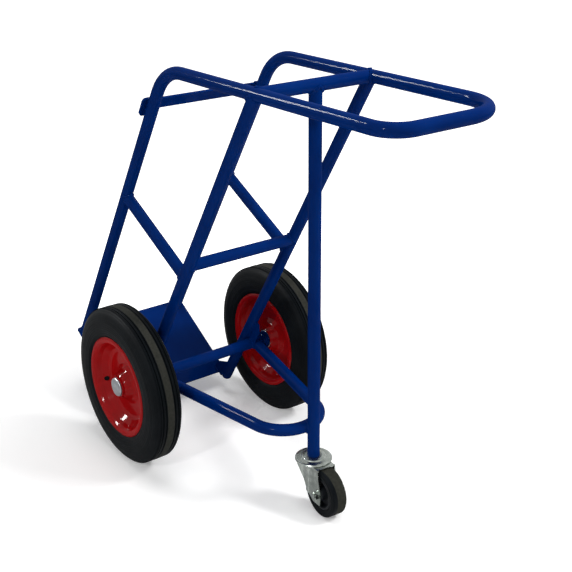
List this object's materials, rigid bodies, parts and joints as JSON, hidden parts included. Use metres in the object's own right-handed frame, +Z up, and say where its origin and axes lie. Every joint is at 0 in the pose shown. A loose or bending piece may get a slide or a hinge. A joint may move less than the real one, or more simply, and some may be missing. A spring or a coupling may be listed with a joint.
{
  "type": "gas cylinder trolley",
  "caption": "Welded round-tube trolley with a tilted cylinder cradle, toe plate, swing-up retaining bar, two large wheels on a fixed axle and a trailing swivel castor.",
  "frame": {"origin": "middle of the overall length and width, on the floor that the wheels and the castor stand on", "axes": "+Z up; +Y towards the push handle, -Y towards the toe plate; +X is the left side of the person who pushes it; the wheel axle runs along X at y = -0.203 m, z = 0.175 m"},
  "size_m": [0.465, 1.0922, 0.8775],
  "materials": {
    "frame_paint": "gloss blue stove enamel over steel",
    "rim_paint": "gloss red enamel over pressed steel",
    "tyre": "black rubber, satin on the sides and worn matt on the tread",
    "cap_chrome": "bright plated",
    "zinc": "bright zinc plated",
    "bearing_steel": "ground steel",
    "castor_plastic": "satin black",
    "castor_rubber": "matt dark grey"
  },
  "bodies": {
    "frame": {"main_tube": "frame_paint", "rear_leg_left": "frame_paint", "rear_leg_right": "frame_paint", "leg_cap_left": "frame_paint", "leg_cap_right": "frame_paint", "top_cross_tube": "frame_paint", "post_tube": "frame_paint", "cradle_arm_left": "frame_paint", "cradle_arm_right": "frame_paint", "cradle_cross_tube": "frame_paint", "axle_tube": "frame_paint", "loop_tube": "frame_paint", "toe_plate": "frame_paint", "plate_bracket_left": "frame_paint", "plate_bracket_right": "frame_paint", "gusset_left": "frame_paint", "gusset_right": "frame_paint", "collar_left": "frame_paint", "collar_right": "frame_paint", "axle_rod": "zinc", "axle_cap_left": "cap_chrome", "axle_cap_right": "cap_chrome", "pivot_plate": "frame_paint", "pivot_bolt": "zinc", "latch_hook": "frame_paint", "post_insert": "zinc", "castor_plate": "zinc", "castor_king_bolt": "zinc"},
    "bar": {"retaining_bar": "frame_paint"},
    "wheel_left": {"tyre_left": "tyre", "rim_outer_left": "rim_paint", "rim_inner_left": "rim_paint", "hub_tube_left": "rim_paint", "bearings_left": "bearing_steel"},
    "wheel_right": {"tyre_right": "tyre", "rim_outer_right": "rim_paint", "rim_inner_right": "rim_paint", "hub_tube_right": "rim_paint", "bearings_right": "bearing_steel"},
    "castor_fork": {"castor_fork": "zinc", "castor_balls": "bearing_steel", "castor_axle_bolt": "zinc", "castor_axle_nut": "zinc", "castor_sleeve": "zinc"},
    "castor_wheel": {"castor_core": "castor_plastic", "castor_tyre": "castor_rubber"}
  },
  "joints": [
    {"name": "wheel_left_spin", "type": "hinge", "parent": "frame", "child": "wheel_left", "pos_m": [0.196, -0.20341, 0.175], "axis": [1, 0, 0], "continuous": true},
    {"name": "wheel_right_spin", "type": "hinge", "parent": "frame", "child": "wheel_right", "pos_m": [-0.196, -0.20341, 0.175], "axis": [1, 0, 0], "continuous": true},
    {"name": "castor_swivel", "type": "hinge", "parent": "frame", "child": "castor_fork", "pos_m": [0, 0.1943, 0.105], "axis": [0, 0, 1], "continuous": true},
    {"name": "castor_wheel_spin", "type": "hinge", "parent": "castor_fork", "child": "castor_wheel", "pos_m": [0.00401, 0.24013, 0.05], "axis": [0.9962, -0.0872, 0], "continuous": true},
    {"name": "bar_swing", "type": "hinge", "parent": "frame", "child": "bar", "pos_m": [0.13, -0.17183, 0.78506], "axis": [0, 0.8508, -0.5255], "range_deg": [0, 270]}
  ]
}
